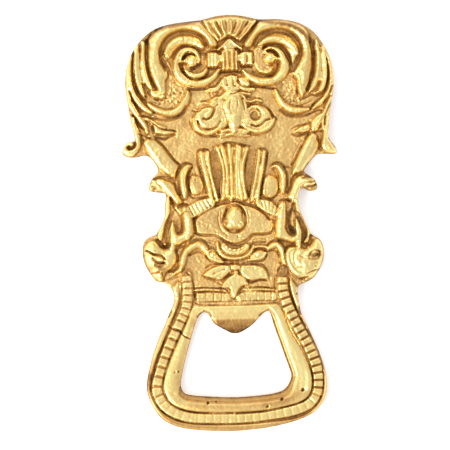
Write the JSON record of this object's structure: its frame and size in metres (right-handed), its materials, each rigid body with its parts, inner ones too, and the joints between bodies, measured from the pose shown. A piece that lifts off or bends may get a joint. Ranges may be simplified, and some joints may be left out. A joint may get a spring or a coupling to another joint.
{
  "type": "bottle opener",
  "caption": "Hand-held cast brass bottle opener: an open loop with a lifting tooth below a flat handle plate carved in relief with scrolls, feathers and a bow.",
  "frame": {"origin": "centre of the bounding box of the outline, on the flat underside", "axes": "+X across the width, to the right of the carved face; +Y along the length, from the opener loop to the crest; +Z out of the carved face. The opener lies on its back."},
  "size_m": [0.0645, 0.125, 0.0057],
  "materials": {
    "cast_brass": "as-cast ground of the relief and the back, warm brown-gold, softly matt in the hollows",
    "relief_brass": "raised motifs, rubbed bright on the tops, dark patina in the creases",
    "tooth_brass": "worn smooth by bottle caps, satin"
  },
  "bodies": {
    "root": {"back_plate": "cast_brass", "opener_loop": "cast_brass", "cap_tooth": "tooth_brass", "loop_rim": "relief_brass", "bead_border": "relief_brass", "loop_band": "relief_brass", "bead_row": "relief_brass", "palmette": "relief_brass", "tie": "relief_brass", "volute_left": "relief_brass", "volute_right": "relief_brass", "shell_left": "relief_brass", "shell_right": "relief_brass", "spiral_left": "relief_brass", "spiral_right": "relief_brass", "pendant": "relief_brass", "feathers_left": "relief_brass", "feathers_right": "relief_brass", "wing_rim_left": "relief_brass", "wing_tail_left": "relief_brass", "hook_left": "relief_brass", "wing_rim_right": "relief_brass", "wing_tail_right": "relief_brass", "crescent_left": "relief_brass", "crescent_right": "relief_brass", "spur_right": "relief_brass", "sprig_left": "relief_brass", "sprig_right": "relief_brass", "lotus_bud": "relief_brass", "lotus_scroll_left": "relief_brass", "lotus_scroll_right": "relief_brass", "arm_left": "relief_brass", "arm_right": "relief_brass", "sheaf": "relief_brass", "rod_left": "relief_brass", "rod_right": "relief_brass", "horn_left": "relief_brass", "horn_right": "relief_brass", "ribbon_left": "relief_brass", "ribbon_right": "relief_brass", "shoulder_left": "relief_brass", "shoulder_right": "relief_brass", "pad_left": "relief_brass", "pad_right": "relief_brass", "rays_left": "relief_brass", "rays_right": "relief_brass", "arch_field": "relief_brass", "boss": "relief_brass", "column_left": "relief_brass", "column_right": "relief_brass", "head_left": "relief_brass", "head_right": "relief_brass", "garland": "relief_brass", "almond_left": "relief_brass", "almond_right": "relief_brass", "bow_left": "relief_brass", "bow_right": "relief_brass", "bow_tail": "relief_brass"}
  },
  "joints": []
}
